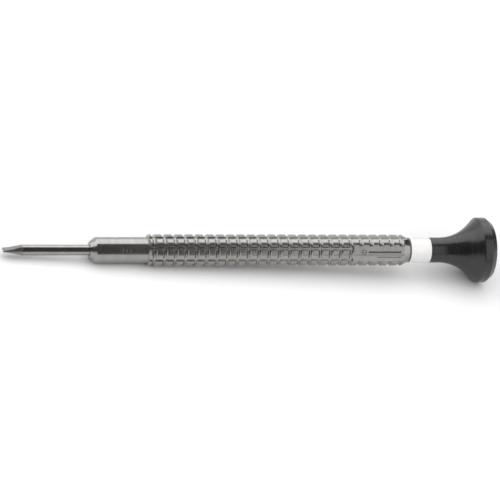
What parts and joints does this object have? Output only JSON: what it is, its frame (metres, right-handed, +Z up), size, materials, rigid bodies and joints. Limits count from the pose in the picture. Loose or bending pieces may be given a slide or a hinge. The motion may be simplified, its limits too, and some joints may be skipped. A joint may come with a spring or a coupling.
{
  "type": "watchmaker screwdriver",
  "caption": "Slim precision screwdriver with a clamped flat blade, checkered metal handle, plain colour ring and free-turning trumpet-shaped head.",
  "frame": {"origin": "the middle of the blade's edge, on the tool's axis", "axes": "+X along the tool's axis from the blade's edge to the head, +Z up with the tool lying down, the smooth plate faces -Y and 22.5 degrees upward"},
  "size_m": [0.0943, 0.0125, 0.0124],
  "materials": {
    "blade_steel": "ground and polished hardened steel",
    "handle_steel": "turned stainless steel, bright",
    "screw_steel": "dark hardened steel",
    "ring_plastic": "smooth white plastic",
    "head_plastic": "satin black plastic, turned",
    "bearing_steel": "polished bearing steel",
    "bronze": "sintered bronze"
  },
  "bodies": {
    "handle": {"handle_body": "handle_steel", "colour_ring": "ring_plastic", "pivot_axle": "bearing_steel", "thrust_washer": "bronze", "bearing_inner_race": "bearing_steel", "lock_washer": "screw_steel", "lock_screw": "screw_steel"},
    "blade": {"blade": "blade_steel"},
    "clamp_screw_1": {"clamp_screw_1": "screw_steel"},
    "clamp_screw_2": {"clamp_screw_2": "screw_steel"},
    "head": {"head_shell": "head_plastic", "head_cap": "head_plastic", "neck_bush": "bronze", "bearing_outer_race": "bearing_steel", "bearing_front_shield": "bearing_steel", "bearing_rear_shield": "bearing_steel", "retaining_ring": "screw_steel"},
    "ball_cage": {"bearing_cage": "bronze", "bearing_ball_1": "bearing_steel", "bearing_ball_2": "bearing_steel", "bearing_ball_3": "bearing_steel", "bearing_ball_4": "bearing_steel", "bearing_ball_5": "bearing_steel", "bearing_ball_6": "bearing_steel", "bearing_ball_7": "bearing_steel"}
  },
  "joints": [
    {"name": "head_spin", "type": "hinge", "parent": "handle", "child": "head", "pos_m": [0.09006, 0, 0], "axis": [1, 0, 0], "continuous": true},
    {"name": "cage_orbit", "type": "hinge", "parent": "handle", "child": "ball_cage", "pos_m": [0.09006, 0, 0], "axis": [1, 0, 0], "continuous": true},
    {"name": "blade_slide", "type": "slide", "parent": "handle", "child": "blade", "axis": [-1, 0, 0], "range_m": [0, 0.009]},
    {"name": "clamp_screw_1_turn", "type": "hinge", "parent": "handle", "child": "clamp_screw_1", "pos_m": [0.021, 0.00106, 0.00126], "axis": [0, 0.6428, 0.766], "range_deg": [0, 990]},
    {"name": "clamp_screw_2_turn", "type": "hinge", "parent": "handle", "child": "clamp_screw_2", "pos_m": [0.021, 0.00056, -0.00154], "axis": [0, 0.342, -0.9397], "range_deg": [0, 990]}
  ],
  "couplings": [
    {"joint": "cage_orbit", "follows": "head_spin", "ratio": 0.625}
  ]
}
